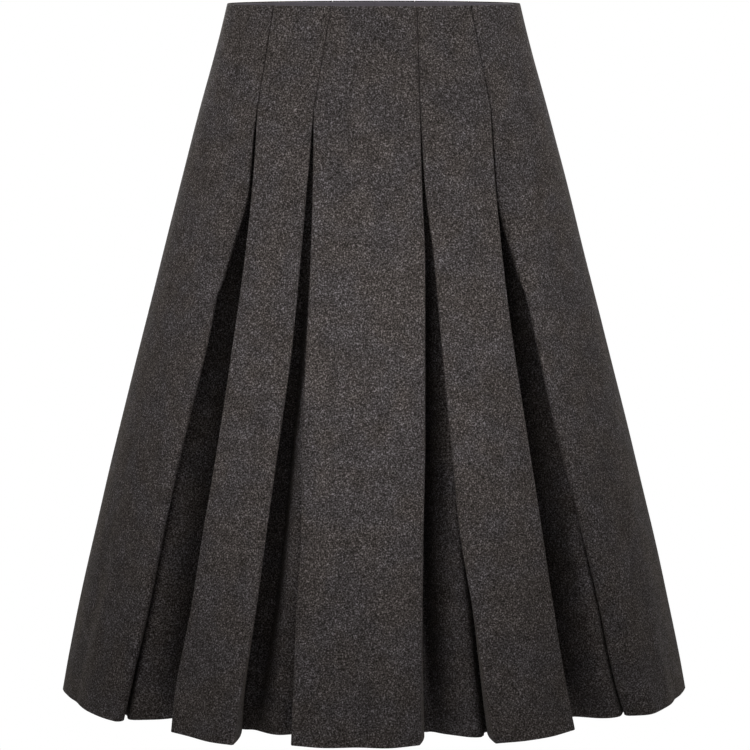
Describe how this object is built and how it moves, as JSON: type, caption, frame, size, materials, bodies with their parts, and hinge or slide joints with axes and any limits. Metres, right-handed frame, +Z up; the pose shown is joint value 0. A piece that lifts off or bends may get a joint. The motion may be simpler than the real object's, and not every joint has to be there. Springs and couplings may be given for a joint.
{
  "type": "maxi skirt",
  "caption": "Long A-line skirt in charcoal felted wool, filled out and hollow, with deep box pleats sewn shut below a fitted waist and a concealed zip behind.",
  "frame": {"origin": "middle of the waist opening, level with the waist edge, where the wearer's waist holds the skirt", "axes": "+Z up, from hem to waist; -Y to the front of the skirt, so +Y to the back with the zip; +X to the right as seen from the front, which is the wearer's left"},
  "size_m": [0.774, 0.5395, 0.845],
  "materials": {
    "wool": "charcoal melange felted wool, matt, with a fine nap",
    "facing": "smooth closely woven facing, grey with a faint purple cast",
    "tape": "woven zip tape, black",
    "metal": "dark lacquered zip metal, satin"
  },
  "bodies": {
    "skirt": {"front_centre": "wool", "front_left": "wool", "front_right": "wool", "side_front_left": "wool", "side_front_right": "wool", "side_back_left": "wool", "side_back_right": "wool", "back_left": "wool", "back_right": "wool", "back_centre_left": "wool", "back_centre_right": "wool", "underlay_front_outer_left": "wool", "underlay_front_inner_left": "wool", "underlay_front_inner_right": "wool", "underlay_front_outer_right": "wool", "underlay_back_outer_left": "wool", "underlay_back_inner_left": "wool", "underlay_back_inner_right": "wool", "underlay_back_outer_right": "wool", "waist_facing_front": "facing", "waist_facing_back_left": "facing", "waist_facing_back_right": "facing", "zip_tape_left": "tape", "zip_tape_right": "tape", "zip_slider": "metal"},
    "zip_pull": {"zip_pull_tab": "metal"}
  },
  "joints": [
    {"name": "zip_pull_hinge", "type": "hinge", "parent": "skirt", "child": "zip_pull", "pos_m": [0, 0.10134, -0.01659], "axis": [1, 0, 0], "range_deg": [0, 165]}
  ]
}
